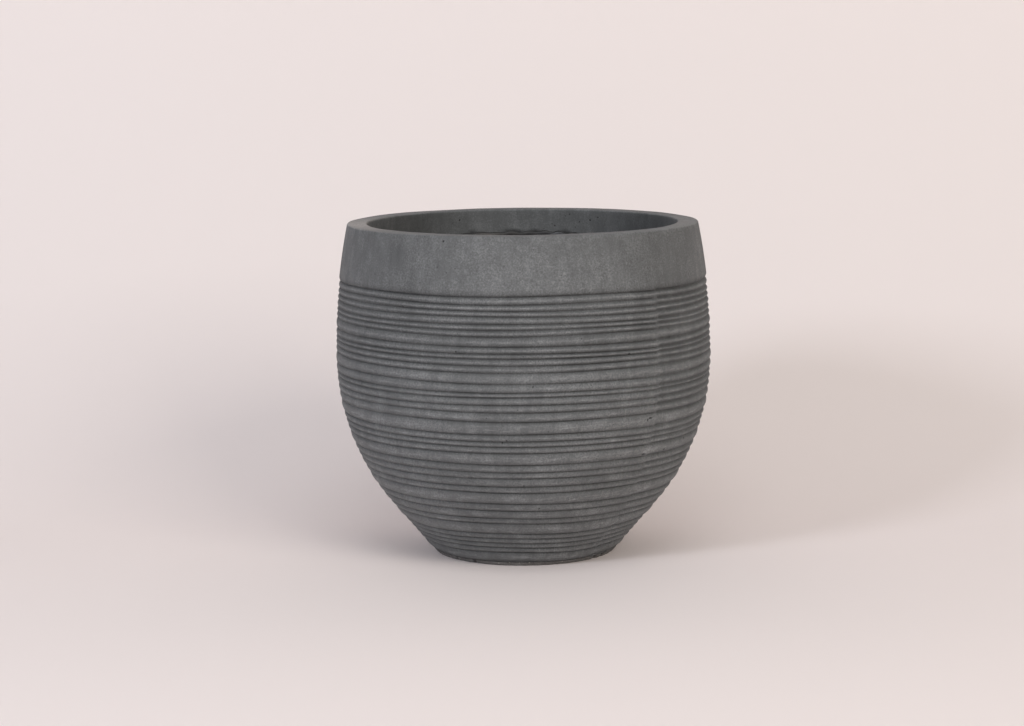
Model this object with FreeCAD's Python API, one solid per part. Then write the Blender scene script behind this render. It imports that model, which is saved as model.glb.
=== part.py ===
import FreeCAD, Part
import math
import os

# Ribbed floor planter of hand-laid fibre cement, standing on its foot ring.
# Lengths are in millimetres. +Z is up, and the origin is the centre of the foot on the floor.

# Envelope of the pot
HEIGHT = 352.0
BELLY_DIAMETER = 400.0
BELLY_HEIGHT = 210.0
# How far the rim stands in from the belly, all round
RIM_SETBACK = 14.5
BASE_DIAMETER = 194.0
# Height at which the vertical at the belly and the lower cone would meet
CORNER_HEIGHT = 122.0

# Wall and lip
WALL_THICKNESS = 7.5
LIP_WIDTH = 21.0
LIP_DEPTH = 30.0
LIP_UNDERSIDE_DROP = 14.0
LIP_OUTER_RADIUS = 1.5
LIP_INNER_RADIUS = 2.0

# Plain band under the rim, then the ribs down to the foot
BAND_HEIGHT = 59.0
RIB_INSET = 0.5
GROOVE_DEPTH = 2.2
# Width of a rib's rounded shoulder; narrow ribs are all shoulder
SHOULDER_WIDTH = 3.6
# Height of a wide rib's crown, as a share of its width between the shoulders
RIB_CROWN_SHARE = 0.06
# Widths of the ribs from the top down, as shares of the ribbed length of the wall
RIB_WIDTH_SHARES = (
    8, 6.5, 6, 7.5, 5.5, 6, 10.5, 7.5, 5, 6.5, 7, 11.5,
    9, 5, 8, 7.5, 9.5, 14, 7.5, 6, 7.5, 13.5, 9, 8,
    10, 8, 16, 10, 12, 8.5, 17, 8, 7.5, 7.5, 8.5, 14,
)

# Base, with the raw foot that shows under the wall
FOOT_HEIGHT = 4.4
FOOT_SETBACK = 1.0
FOOT_RING_WIDTH = 16.0
RECESS_DEPTH = 5.0
BASE_HEIGHT = 22.0

# Layers inside the wall
BOND_GAP = 0.3
MAT_THICKNESS = 1.0
MAT_SEAM = 2.0
MAT_COUNT = 6
LINING_THICKNESS = 4.0
LINING_FLOOR = 6.0
COAT_THICKNESS = 1.2
COAT_LAP = 4.0

# Drain sleeve and its plug
DRAIN_BORE = 25.0
SLEEVE_WALL = 2.5
FLANGE_WIDTH = 10.0
FLANGE_THICKNESS = 2.0
PLUG_CLEARANCE = 0.25
PLUG_END_GAP = 4.0
PLUG_RING_HEIGHT = 2.2
PLUG_RING_DEPTH = 0.8
PLUG_RING_COUNT = 2
CAP_OVERHANG = 6.5
CAP_THICKNESS = 4.0
NECK_DIAMETER = 12.0
NECK_HEIGHT = 6.0
KNOB_DIAMETER = 20.0
KNOB_HEIGHT = 7.0

# The wall's outline: a lower cone, a lower arc and an upper arc, tangent to each other
FULL_TURN = 360.0
belly_radius = BELLY_DIAMETER / 2
rim_radius = belly_radius - RIM_SETBACK
base_radius = BASE_DIAMETER / 2
cone_angle = math.atan2(belly_radius - base_radius, CORNER_HEIGHT)
lower_radius = (BELLY_HEIGHT - CORNER_HEIGHT) / math.tan(cone_angle / 2)
rise = HEIGHT - BELLY_HEIGHT
upper_radius = (rise * rise + RIM_SETBACK * RIM_SETBACK) / (2 * RIM_SETBACK)

# Depths of the layers, measured square to the wall from its outer face
mat_outer = WALL_THICKNESS + BOND_GAP
mat_inner = mat_outer + MAT_THICKNESS
lining_outer = mat_inner + BOND_GAP
lining_inner = lining_outer + LINING_THICKNESS
coat_outer = lining_inner + BOND_GAP
coat_inner = coat_outer + COAT_THICKNESS

# Levels of the base, from the slab up
disc_bottom = BASE_HEIGHT + BOND_GAP
disc_top = disc_bottom + MAT_THICKNESS
floor_bottom = disc_top + BOND_GAP
floor_top = floor_bottom + LINING_FLOOR
coat_bottom = floor_top + BOND_GAP
coat_top = coat_bottom + COAT_THICKNESS

# Radii of the drain
bore_radius = DRAIN_BORE / 2
sleeve_radius = bore_radius + SLEEVE_WALL
flange_radius = sleeve_radius + FLANGE_WIDTH
sleeve_hole = sleeve_radius + BOND_GAP
flange_hole = flange_radius + BOND_GAP

# The lip's inner face and the slanted underside that leads to it from the wall
lip_inner = rim_radius - LIP_WIDTH
lip_bottom = HEIGHT - LIP_DEPTH
underside_start = lip_bottom - LIP_UNDERSIDE_DROP


def point(radius, height):
    return FreeCAD.Vector(radius, 0, height)


def on_circle(centre, radius, angle):
    return centre + point(radius * math.cos(angle), radius * math.sin(angle))


lower_centre = point(belly_radius - lower_radius, BELLY_HEIGHT)
upper_centre = point(belly_radius - upper_radius, BELLY_HEIGHT)


def cone_top(inset):
    """Point where the cone meets the lower arc, on the outline moved in by inset."""
    return on_circle(lower_centre, lower_radius - inset, -cone_angle)


def wall_radius(height, inset):
    """Radius of the outline, moved in by inset, at a height."""
    if height < cone_top(inset).z:
        return base_radius + height * math.tan(cone_angle) - inset / math.cos(cone_angle)
    centre = lower_centre
    radius = lower_radius - inset
    if height > BELLY_HEIGHT:
        centre = upper_centre
        radius = upper_radius - inset
    return centre.x + math.sqrt(radius ** 2 - (height - BELLY_HEIGHT) ** 2)


def wall_point(height, inset):
    return point(wall_radius(height, inset), height)


def polyline(points):
    return [Part.LineSegment(a, b).toShape() for a, b in zip(points, points[1:])]


def arc(start, middle, end):
    return Part.Arc(start, middle, end).toShape()


def wall_edges(low, high, inset):
    """Edges of the outline, moved in by inset, from one height up to another."""
    joins = [h for h in (cone_top(inset).z, BELLY_HEIGHT) if low < h < high]
    levels = [low] + joins + [high]
    edges = []
    for start, end in zip(levels, levels[1:]):
        if end <= cone_top(inset).z:
            edges += polyline([wall_point(start, inset), wall_point(end, inset)])
        else:
            middle = wall_point((start + end) / 2, inset)
            edges.append(arc(wall_point(start, inset), middle, wall_point(end, inset)))
    return edges


def revolved(edges, sweep=FULL_TURN):
    face = Part.Face(Part.Wire(Part.__sortEdges__(edges)))
    return face.revolve(FreeCAD.Vector(0, 0, 0), FreeCAD.Vector(0, 0, 1), sweep)


def revolved_outline(points):
    return revolved(polyline(points + points[:1]))


def underside_height(radius, depth):
    """Height of the lip's slanted underside at a radius, lowered square to it by depth."""
    run = wall_radius(underside_start, WALL_THICKNESS) - lip_inner
    slope = LIP_UNDERSIDE_DROP / run
    slant = math.hypot(run, LIP_UNDERSIDE_DROP) / run
    return lip_bottom - (radius - lip_inner) * slope - depth * slant


def layer_top(inset, depth):
    """Top height of a layer of the wall that ends under the lip."""
    return underside_height(wall_radius(underside_start, inset), depth)


# Ribs are laid out by length along the wall, on the outline moved in by RIB_INSET
rib_start = wall_point(FOOT_HEIGHT, RIB_INSET)
rib_cone_length = (cone_top(RIB_INSET) - rib_start).Length
rib_belly_length = rib_cone_length + (lower_radius - RIB_INSET) * cone_angle
rib_top_angle = math.asin((HEIGHT - BAND_HEIGHT - BELLY_HEIGHT) / (upper_radius - RIB_INSET))
rib_length = rib_belly_length + (upper_radius - RIB_INSET) * rib_top_angle


def rib_point(length, proud):
    """Point at a length up the ribbed wall, standing proud of it square to the wall."""
    if length < rib_cone_length:
        along = point(math.sin(cone_angle), math.cos(cone_angle))
        outward = point(math.cos(cone_angle), -math.sin(cone_angle))
        return rib_start + along * length + outward * proud
    if length < rib_belly_length:
        radius = lower_radius - RIB_INSET
        return on_circle(lower_centre, radius + proud, (length - rib_belly_length) / radius)
    radius = upper_radius - RIB_INSET
    return on_circle(upper_centre, radius + proud, (length - rib_belly_length) / radius)


def shoulder_height(distance, depth):
    """Height from the rib's face of a shoulder that rises out of a groove of that depth."""
    radius = (SHOULDER_WIDTH ** 2 + depth ** 2) / (2 * depth)
    return math.sqrt(radius ** 2 - (SHOULDER_WIDTH - distance) ** 2) - radius


def rib_marks(width):
    """Points across a rib, as lengths along the wall and heights from its face, in threes for arcs."""
    middle = width / 2
    half_shoulder = SHOULDER_WIDTH / 2
    side = shoulder_height(half_shoulder, GROOVE_DEPTH)
    if middle <= SHOULDER_WIDTH:
        return [(0, -GROOVE_DEPTH), (middle, shoulder_height(middle, GROOVE_DEPTH)), (width, -GROOVE_DEPTH)]
    return [
        (0, -GROOVE_DEPTH),
        (half_shoulder, side),
        (SHOULDER_WIDTH, 0),
        (middle, RIB_CROWN_SHARE * (width - 2 * SHOULDER_WIDTH)),
        (width - SHOULDER_WIDTH, 0),
        (width - half_shoulder, side),
        (width, -GROOVE_DEPTH),
    ]


def rib_edges():
    """The ribs, whose shoulders meet in the grooves, from the foot up to the plain band."""
    unit = rib_length / sum(RIB_WIDTH_SHARES)
    edges = []
    low = 0
    for share in reversed(RIB_WIDTH_SHARES):
        points = [rib_point(low + along, proud) for along, proud in rib_marks(share * unit)]
        edges += [arc(*points[k:k + 3]) for k in range(0, len(points) - 1, 2)]
        low += share * unit
    return edges


def ribbed_wall():
    half_shoulder = SHOULDER_WIDTH / 2
    band_side = RIB_INSET + shoulder_height(half_shoulder, GROOVE_DEPTH + RIB_INSET)
    band_start = rib_point(rib_length + SHOULDER_WIDTH, RIB_INSET)
    edges = rib_edges()
    edges.append(arc(
        rib_point(rib_length, -GROOVE_DEPTH),
        rib_point(rib_length + half_shoulder, band_side),
        band_start,
    ))
    outer_centre = wall_point(HEIGHT - LIP_OUTER_RADIUS, LIP_OUTER_RADIUS)
    outward = outer_centre - upper_centre
    lean = math.atan2(outward.z, outward.x)
    band_end = on_circle(outer_centre, LIP_OUTER_RADIUS, lean)
    band_middle = wall_point((band_start.z + band_end.z) / 2, 0)
    top_outer = outer_centre + point(0, LIP_OUTER_RADIUS)
    outer_middle = on_circle(outer_centre, LIP_OUTER_RADIUS, (lean + math.pi / 2) / 2)
    inner_centre = point(lip_inner + LIP_INNER_RADIUS, HEIGHT - LIP_INNER_RADIUS)
    top_inner = inner_centre + point(0, LIP_INNER_RADIUS)
    inner_middle = on_circle(inner_centre, LIP_INNER_RADIUS, 3 * math.pi / 4)
    face_top = inner_centre - point(LIP_INNER_RADIUS, 0)
    edges += [arc(band_start, band_middle, band_end), arc(band_end, outer_middle, top_outer)]
    edges += polyline([top_outer, top_inner])
    edges.append(arc(top_inner, inner_middle, face_top))
    edges += polyline([face_top, point(lip_inner, lip_bottom), wall_point(underside_start, WALL_THICKNESS)])
    edges += wall_edges(FOOT_HEIGHT, underside_start, WALL_THICKNESS)
    edges += polyline([
        wall_point(FOOT_HEIGHT, WALL_THICKNESS),
        wall_point(FOOT_HEIGHT, RIB_INSET + GROOVE_DEPTH),
        rib_point(0, -GROOVE_DEPTH),
    ])
    return revolved(edges)


def base_slab():
    foot_top = FOOT_HEIGHT - BOND_GAP
    ring_inner = wall_radius(0, FOOT_SETBACK) - FOOT_RING_WIDTH
    edges = polyline([
        wall_point(foot_top, mat_outer),
        wall_point(foot_top, FOOT_SETBACK),
        wall_point(0, FOOT_SETBACK),
        point(ring_inner, 0),
        point(ring_inner, RECESS_DEPTH),
        point(sleeve_hole, RECESS_DEPTH),
        point(sleeve_hole, BASE_HEIGHT),
        wall_point(BASE_HEIGHT, mat_outer),
    ])
    return revolved(edges + wall_edges(foot_top, BASE_HEIGHT, mat_outer))


def fibre_mat_panel(number):
    top = layer_top(mat_outer, BOND_GAP)
    edges = wall_edges(disc_bottom, top, mat_outer) + wall_edges(disc_bottom, top, mat_inner)
    for height in (disc_bottom, top):
        edges += polyline([wall_point(height, mat_outer), wall_point(height, mat_inner)])
    pitch = FULL_TURN / MAT_COUNT
    panel = revolved(edges, pitch - math.degrees(MAT_SEAM / belly_radius))
    panel.rotate(FreeCAD.Vector(0, 0, 0), FreeCAD.Vector(0, 0, 1), pitch * number)
    return panel


def fibre_mat_disc():
    edge = wall_radius(disc_bottom, lining_outer)
    return revolved_outline([
        point(sleeve_hole, disc_bottom),
        point(edge, disc_bottom),
        point(edge, disc_top),
        point(sleeve_hole, disc_top),
    ])


def inner_lining():
    outer_top = layer_top(lining_outer, BOND_GAP)
    inner_top = layer_top(lining_inner, BOND_GAP)
    seat = floor_top - FLANGE_THICKNESS - BOND_GAP
    edges = wall_edges(floor_bottom, outer_top, lining_outer)
    edges += polyline([wall_point(outer_top, lining_outer), wall_point(inner_top, lining_inner)])
    edges += wall_edges(floor_top, inner_top, lining_inner)
    edges += polyline([
        wall_point(floor_top, lining_inner),
        point(flange_hole, floor_top),
        point(flange_hole, seat),
        point(sleeve_hole, seat),
        point(sleeve_hole, floor_bottom),
        wall_point(floor_bottom, lining_outer),
    ])
    return revolved(edges)


def sealing_coat():
    outer_top = layer_top(coat_outer, BOND_GAP)
    inner_top = layer_top(coat_inner, BOND_GAP + COAT_THICKNESS)
    lap_outer = lip_inner - BOND_GAP
    lap_inner = lap_outer - COAT_THICKNESS
    lap_top = lip_bottom + COAT_LAP
    edges = wall_edges(coat_bottom, outer_top, coat_outer)
    edges += polyline([
        wall_point(outer_top, coat_outer),
        point(lap_outer, underside_height(lap_outer, BOND_GAP)),
        point(lap_outer, lap_top),
        point(lap_inner, lap_top),
        point(lap_inner, underside_height(lap_inner, BOND_GAP + COAT_THICKNESS)),
        wall_point(inner_top, coat_inner),
    ])
    edges += wall_edges(coat_top, inner_top, coat_inner)
    edges += polyline([
        wall_point(coat_top, coat_inner),
        point(flange_hole, coat_top),
        point(flange_hole, coat_bottom),
        wall_point(coat_bottom, coat_outer),
    ])
    return revolved(edges)


def drain_sleeve():
    flange_bottom = floor_top - FLANGE_THICKNESS
    return revolved_outline([
        point(bore_radius, RECESS_DEPTH),
        point(sleeve_radius, RECESS_DEPTH),
        point(sleeve_radius, flange_bottom),
        point(flange_radius, flange_bottom),
        point(flange_radius, floor_top),
        point(bore_radius, floor_top),
    ])


def drain_plug():
    """A rubber bung: ringed stem in the sleeve, cap on the flange, neck and knob to pull by."""
    ring_radius = bore_radius - PLUG_CLEARANCE
    stem_radius = ring_radius - PLUG_RING_DEPTH
    stem_bottom = RECESS_DEPTH + PLUG_END_GAP
    pitch = (floor_top - stem_bottom) / (PLUG_RING_COUNT + 1)
    half_ring = PLUG_RING_HEIGHT / 2
    cap_radius = bore_radius + CAP_OVERHANG
    cap_top = floor_top + CAP_THICKNESS
    neck_radius = NECK_DIAMETER / 2
    knob_bottom = cap_top + NECK_HEIGHT
    knob_radius = KNOB_DIAMETER / 2
    knob_top = knob_bottom + KNOB_HEIGHT
    edges = []
    start = point(stem_radius, stem_bottom)
    for number in range(PLUG_RING_COUNT):
        height = stem_bottom + pitch * (number + 1)
        low = point(stem_radius, height - half_ring)
        high = point(stem_radius, height + half_ring)
        edges += polyline([start, low])
        edges.append(arc(low, point(ring_radius, height), high))
        start = high
    edges += polyline([
        start,
        point(stem_radius, floor_top),
        point(cap_radius, floor_top),
        point(cap_radius, cap_top),
        point(neck_radius, cap_top),
        point(neck_radius, knob_bottom),
    ])
    knob_side = point(knob_radius, (knob_bottom + knob_top) / 2)
    edges.append(arc(point(neck_radius, knob_bottom), knob_side, point(neck_radius, knob_top)))
    edges += polyline([
        point(neck_radius, knob_top),
        point(0, knob_top),
        point(0, stem_bottom),
        point(stem_radius, stem_bottom),
    ])
    return revolved(edges)


pieces = {
    "ribbed_wall": ribbed_wall(),
    "base_slab": base_slab(),
    "fibre_mat_disc": fibre_mat_disc(),
    "inner_lining": inner_lining(),
    "sealing_coat": sealing_coat(),
    "drain_sleeve": drain_sleeve(),
    "drain_plug": drain_plug(),
}
for number in range(MAT_COUNT):
    pieces["fibre_mat_panel_%d" % (number + 1)] = fibre_mat_panel(number)

os.makedirs("parts", exist_ok=True)
for name, shape in pieces.items():
    shape.exportStep("parts/%s.step" % name)
    print(name, shape.ShapeType, shape.isValid())
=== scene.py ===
import math

import bmesh
import bpy
import numpy as np
from mathutils import Matrix, Vector


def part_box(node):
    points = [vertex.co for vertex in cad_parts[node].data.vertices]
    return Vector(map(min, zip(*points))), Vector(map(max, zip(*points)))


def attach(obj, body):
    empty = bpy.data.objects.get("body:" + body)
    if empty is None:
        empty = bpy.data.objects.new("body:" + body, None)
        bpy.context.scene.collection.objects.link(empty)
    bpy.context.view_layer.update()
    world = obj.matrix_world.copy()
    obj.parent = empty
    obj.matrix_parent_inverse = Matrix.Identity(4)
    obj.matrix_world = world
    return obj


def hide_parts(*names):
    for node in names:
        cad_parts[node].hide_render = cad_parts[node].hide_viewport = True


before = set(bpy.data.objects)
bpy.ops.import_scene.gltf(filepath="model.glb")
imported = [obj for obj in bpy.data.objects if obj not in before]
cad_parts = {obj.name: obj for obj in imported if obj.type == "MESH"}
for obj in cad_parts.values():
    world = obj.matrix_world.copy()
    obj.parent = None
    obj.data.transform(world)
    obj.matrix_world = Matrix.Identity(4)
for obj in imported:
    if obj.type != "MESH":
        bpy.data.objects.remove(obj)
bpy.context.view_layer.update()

# Ribbed wall
# The wall is pigmented fibre cement, laid by hand into a ribbed mould of two halves and turned out when set.
# The mould leaves uneven ribs, a plain band under a flat lip, a filled seam down each side, and air holes.
MM = 0.001
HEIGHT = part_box("ribbed_wall")[1].z
WALL_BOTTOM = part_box("ribbed_wall")[0].z
BELLY_RADIUS = 200 * MM
BELLY_HEIGHT = 210 * MM
RIM_SETBACK = 14.5 * MM
BASE_RADIUS = 97 * MM
CORNER_HEIGHT = 122 * MM
WALL_THICKNESS = 7.5 * MM
LIP_WIDTH = 21 * MM
LIP_DEPTH = 30 * MM
LIP_UNDERSIDE_DROP = 14 * MM
LIP_OUTER_RADIUS = 1.5 * MM
LIP_INNER_RADIUS = 2 * MM
BAND_HEIGHT = 59 * MM
RIB_INSET = 0.5 * MM
GROOVE_DEPTH = 2.3 * MM
GROOVE_FLOOR = 0.7 * MM
FOOT_GROOVE_SHARE = 0.45
SHOULDER_WIDTH = 3.6 * MM
RIB_CROWN_SHARE = 0.06
# Rib widths, from the band down to the foot
RIB_WIDTH_SHARES = (
    8, 6.5, 6, 7.5, 5.5, 6, 10.5, 7.5, 5, 6.5, 7, 11.5,
    9, 5, 8, 7.5, 9.5, 14, 7.5, 6, 7.5, 13.5, 9, 8,
    10, 8, 16, 10, 12, 8.5, 17, 8, 7.5, 7.5, 8.5, 14,
)
WALL_COLUMNS = 192
SEAM_TURNS = (43, 223)
SEAM_COLUMNS = 11
SEAM_REACH = 9 * MM
SEAM_WIDTH = 2.4 * MM
SEAM_CLEAN = 110 * MM
SEAM_FULL = 200 * MM
SEAM_STEP = 0.4 * MM
SEAM_FADE = 30 * MM
SEAM_FILL = 0.55
SEAM_FILL_SWING = 0.35
SEAM_FILL_LIMITS = (0.1, 0.9)
SEAM_CLEAN_SHARE = 0.15
SEAM_WIDTH_SWING = 0.3
SEAM_LEAST_WIDTH = 1 * MM
GROOVE_DEPTH_SWING = 0.12
GROOVE_SHADE_SIDE_SHARE = 0.25
GROOVE_WANDER = 0.3 * MM
WALL_WOBBLE = 0.3 * MM
LIP_RIPPLE = 0.2 * MM

cone_angle = math.atan2(BELLY_RADIUS - BASE_RADIUS, CORNER_HEIGHT)
lower_radius = (BELLY_HEIGHT - CORNER_HEIGHT) / math.tan(cone_angle / 2)
upper_radius = ((HEIGHT - BELLY_HEIGHT) ** 2 + RIM_SETBACK ** 2) / (2 * RIM_SETBACK)
cone_length = (BELLY_HEIGHT - lower_radius * math.sin(cone_angle)) / math.cos(cone_angle)
belly_length = cone_length + lower_radius * cone_angle


def from_front(degrees):
    """Angle round the axis of a place that many degrees to the right of the front."""
    return np.radians(degrees) - math.pi / 2


def away_from(angle, degrees):
    """Angle the short way round from a place that many degrees to the right of the front."""
    return np.angle(np.exp(1j * (angle - from_front(degrees))))


def wall_line(length):
    """Radius, height and outward direction of the smooth wall, at lengths up along it from the floor."""
    arc = np.where(length < belly_length, lower_radius, upper_radius)
    angle = np.maximum((length - belly_length) / arc, -cone_angle)
    below = np.minimum(length - cone_length, 0)
    radius = BELLY_RADIUS - arc + arc * np.cos(angle) + below * math.sin(cone_angle)
    height = BELLY_HEIGHT + arc * np.sin(angle) + below * math.cos(cone_angle)
    return radius, height, np.cos(angle), np.sin(angle)


def layer_radius(height, inset):
    """Radius of the wall's outline at a height, moved in by inset."""
    if height < BELLY_HEIGHT - (lower_radius - inset) * math.sin(cone_angle):
        return BASE_RADIUS + height * math.tan(cone_angle) - inset / math.cos(cone_angle)
    arc = lower_radius if height < BELLY_HEIGHT else upper_radius
    return BELLY_RADIUS - arc + math.sqrt((arc - inset) ** 2 - (height - BELLY_HEIGHT) ** 2)


def waves(angle, place, seed, around=7, along=60.0, count=14):
    """Smooth uneven waves about 1 high, closed round the pot, for what a hand leaves uneven."""
    draw = np.random.default_rng(seed)
    total = 0
    for _ in range(count):
        turns = draw.integers(1, around + 1)
        rate = draw.uniform(-along, along)
        total = total + np.cos(turns * angle + rate * place + draw.uniform(0, 2 * math.pi))
    return total / math.sqrt(count / 2)


def lathe(name, angles, radius, height):
    """A mesh turned round the axis from a closed section: rows of radii and heights, one for each angle."""
    rows, columns = radius.shape
    points = np.stack([radius * np.cos(angles), radius * np.sin(angles), height], -1)
    row, column = np.meshgrid(np.arange(rows), np.arange(columns), indexing="ij")
    rises, sides = np.array((0, 0, 1, 1)), np.array((0, 1, 1, 0))
    up, side = row[..., None] + rises, column[..., None] + sides
    faces = (up % rows) * columns + side % columns
    line = np.stack([radius.mean(1), height.mean(1)], -1)
    steps = np.linalg.norm(np.roll(line, -1, 0) - line, axis=1)
    along = np.append(0, np.cumsum(steps)) / steps.sum()
    mesh = bpy.data.meshes.new(name)
    mesh.from_pydata(points.reshape(-1, 3), [], faces.reshape(-1, 4))
    mesh.polygons.foreach_set("use_smooth", np.ones(len(mesh.polygons), bool))
    spread = np.stack([side / columns, along[up]], -1)
    mesh.uv_layers.new(name="OFBake").uv.foreach_set("vector", spread.reshape(-1).astype(np.float32))
    return mesh


MERGE_DISTANCE = 0.001 * MM


def whole(mesh):
    """Joins the points that meet on the axis, turns all faces outward and returns the mesh as an object."""
    shape = bmesh.new()
    shape.from_mesh(mesh)
    bmesh.ops.remove_doubles(shape, verts=shape.verts, dist=MERGE_DISTANCE)
    bmesh.ops.recalc_face_normals(shape, faces=shape.faces)
    shape.to_mesh(mesh)
    shape.free()
    piece = bpy.data.objects.new(mesh.name, mesh)
    bpy.context.scene.collection.objects.link(piece)
    return piece


# Mesh rows run up the outside, close together where a rib's shoulder turns into a groove
GROOVE_STEPS = (0.5 * MM, 1.2 * MM, 2.1 * MM, 3.6 * MM)
GROOVE_STEP_SHARE = 0.45
CROWN_STEP = 2.4 * MM
BAND_STEP = 3 * MM
rim_radius = BELLY_RADIUS - RIM_SETBACK
outer_level = HEIGHT - LIP_OUTER_RADIUS
outer_centre = Vector((layer_radius(outer_level, LIP_OUTER_RADIUS), outer_level))
rim_lean = math.atan2(outer_centre.y - BELLY_HEIGHT, outer_centre.x - BELLY_RADIUS + upper_radius)
foot_length = WALL_BOTTOM / math.cos(cone_angle)
band_length = belly_length + upper_radius * math.asin((HEIGHT - BAND_HEIGHT - BELLY_HEIGHT) / upper_radius)
rim_length = belly_length + upper_radius * rim_lean
rib_shares = np.append(0, np.cumsum(RIB_WIDTH_SHARES[::-1])) / sum(RIB_WIDTH_SHARES)
rib_edges = foot_length + (band_length - foot_length) * rib_shares
outer_rows = []
for low, high in zip(rib_edges, rib_edges[1:]):
    steps = [step for step in GROOVE_STEPS if step < GROOVE_STEP_SHARE * (high - low)]
    crowns = max(2, math.ceil((high - low - 2 * steps[-1]) / CROWN_STEP))
    outer_rows += [low] + [low + step for step in steps]
    outer_rows += list(np.linspace(low + steps[-1], high - steps[-1], crowns + 1)[1:-1])
    outer_rows += [high - step for step in reversed(steps)]
outer_rows += [band_length] + [band_length + step for step in GROOVE_STEPS]
plain = rim_length - outer_rows[-1]
outer_rows += list(np.linspace(outer_rows[-1], rim_length, round(plain / BAND_STEP) + 1)[1:])
outer_rows = np.array(outer_rows)

# Mesh columns run evenly round, and closer together across the seams
even = np.linspace(-math.pi, math.pi, WALL_COLUMNS, endpoint=False)
seam_angles = [np.angle(np.exp(1j * from_front(turn))) for turn in SEAM_TURNS]
beside = np.linspace(-SEAM_REACH, SEAM_REACH, SEAM_COLUMNS) / BELLY_RADIUS
near_seam = np.concatenate([seam + beside for seam in seam_angles])
clear = np.min(np.abs(even[:, None] - near_seam[None, :]), axis=1) > math.pi / WALL_COLUMNS / 2
wall_angles = np.sort(np.concatenate([even[clear], near_seam]))

turn, place = np.meshgrid(wall_angles, outer_rows)
to_seams = [np.angle(np.exp(1j * (turn - seam))) * BELLY_RADIUS for seam in seam_angles]
side = np.where(np.abs(to_seams[0]) < np.abs(to_seams[1]), to_seams[0], to_seams[1])
right_half = to_seams[0] > 0
filling = waves(turn, place, seed=12, around=2, along=500.0)
fill = np.clip(SEAM_FILL + SEAM_FILL_SWING * filling, *SEAM_FILL_LIMITS)
fill = fill * np.clip((place - SEAM_CLEAN) / (SEAM_FULL - SEAM_CLEAN), SEAM_CLEAN_SHARE, 1)
spread = SEAM_WIDTH * (1 + SEAM_WIDTH_SWING * waves(turn, place, seed=17, around=2, along=400.0))
fill = fill * np.exp(-((side / np.maximum(spread, SEAM_LEAST_WIDTH)) ** 2))
uneven = waves(turn, place, seed=16, around=9, along=200.0)
depth = GROOVE_DEPTH * (1 + GROOVE_DEPTH_SWING * uneven) * (1 - fill)
wobble = WALL_WOBBLE * waves(turn, place, seed=13, around=6, along=25.0)
wander = GROOVE_WANDER * waves(turn, place, seed=11, around=5, along=250.0)
wander += SEAM_STEP * np.sign(side) * np.exp(-np.abs(side) / SEAM_FADE)

# Each rib rises from its grooves in two round shoulders, with a low crown between them where it is wide
rib = np.clip(np.searchsorted(rib_edges, place, "right") - 1, 0, len(RIB_WIDTH_SHARES) - 1)
low, high = rib_edges[rib], rib_edges[rib + 1]
on_band = place >= band_length
gap = np.where(on_band, place - band_length, np.minimum(place - low, high - place))
at_foot = (rib == 0) & (place - low < high - place)
depth = depth * np.where(at_foot, FOOT_GROOVE_SHARE, 1)
flat = np.where(right_half, GROOVE_FLOOR, 0) * (1 - fill)
rest = np.maximum(SHOULDER_WIDTH - np.maximum(gap - flat, 0), 0)
deep = depth + np.where(on_band, RIB_INSET, 0)
bend = (SHOULDER_WIDTH ** 2 + deep ** 2) / (2 * deep)
shoulder = np.sqrt(bend ** 2 - rest ** 2) - bend
crown_width = np.maximum(high - low - 2 * SHOULDER_WIDTH, 0)
across = np.clip((gap - SHOULDER_WIDTH) / np.maximum(crown_width, MM), 0, 0.5)
crown = np.where(on_band, 0, RIB_CROWN_SHARE * crown_width * 4 * across * (1 - across))
push = shoulder + crown + wobble - np.where(on_band, 0, RIB_INSET)
below_band = np.clip((rim_length - place) / (rim_length - band_length), 0, 1)
radius, height, out_r, out_z = wall_line(place + wander * below_band)
# How deep each point lies in a groove, for painting the grooves darker: painted shade in the grooves, weaker
# at the left and right sides than at the front and back
groove_shade_sides = 1 - GROOVE_SHADE_SIDE_SHARE + GROOVE_SHADE_SIDE_SHARE * np.cos(2 * (turn - from_front(0)))
groove = np.clip(-shoulder / GROOVE_DEPTH, 0, 1) * groove_shade_sides

# The slopes of the ribs down into their grooves are painted darker, most above the belly: painted shade.
# Their crowns are painted paler: painted highlight, and handling rubs pale dashes onto the crowns only.
FLANK_FULL_SHARE = 0.5
FLANK_PLACES = (150 * MM, 180 * MM, 240 * MM, 270 * MM)
FLANK_ENDS = (4.8 * MM, 4.3 * MM, 4.3 * MM, 5.8 * MM)
FLANK_STRENGTHS = (0.4, 0.27, 0.27, 1)
flank_end = np.interp(place, FLANK_PLACES, FLANK_ENDS)
flank_end = np.where(on_band, flank_end, np.minimum(flank_end, (high - low) / 2))
flank = np.clip((1 - gap / flank_end) / (1 - FLANK_FULL_SHARE), 0, 1)
crest = np.where(on_band, 0, 1 - flank)
flank = flank * np.interp(place, FLANK_PLACES, FLANK_STRENGTHS)

# Damp draws the pigment into dark runs down from the rim: degrees round from the front, reach in degrees,
# lowest place and strength
DARK_RUNS = (
    (-39, 9, 240 * MM, 1.0),
    (41, 8, 300 * MM, 1.2),
    (60, 13, 300 * MM, 0.8),
    (118, 10, 200 * MM, 0.7),
    (196, 14, 260 * MM, 0.9),
    (262, 8, 220 * MM, 0.8),
)
RUN_FADE = 60 * MM
run = 0 * turn
for degrees, reach, lowest, strength in DARK_RUNS:
    away = np.degrees(away_from(turn, degrees)) / reach
    run = np.maximum(run, strength * np.exp(-away ** 2) * np.clip((place - lowest) / RUN_FADE, 0, 1))

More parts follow.
